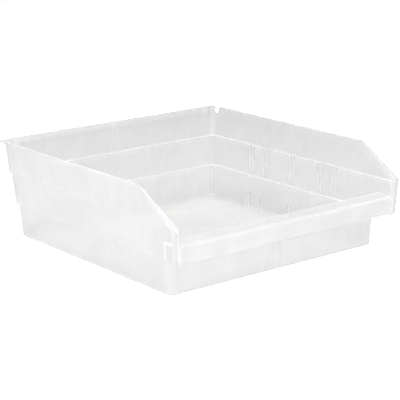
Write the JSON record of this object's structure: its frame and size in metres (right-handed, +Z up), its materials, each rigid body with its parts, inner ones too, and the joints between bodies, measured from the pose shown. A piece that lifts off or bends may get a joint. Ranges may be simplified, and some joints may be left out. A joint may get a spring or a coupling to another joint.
{
  "type": "shelf bin",
  "caption": "Open hopper-front storage bin for a shelf, with stepped side walls, sloped side fronts, a hollow pull lip with a plain label panel, and a rear hang flange.",
  "frame": {"origin": "middle of the bin's box, on the plane that it rests on", "axes": "+X across the bin, +Y from the pull lip to the hang flange, +Z up; the front faces -Y"},
  "size_m": [0.2826, 0.2954, 0.1016],
  "materials": {
    "natural_polypropylene": "natural polypropylene, injection moulded, milky clear, lightly glossy"
  },
  "bodies": {
    "root": {"bin_moulding": "natural_polypropylene"}
  },
  "joints": []
}
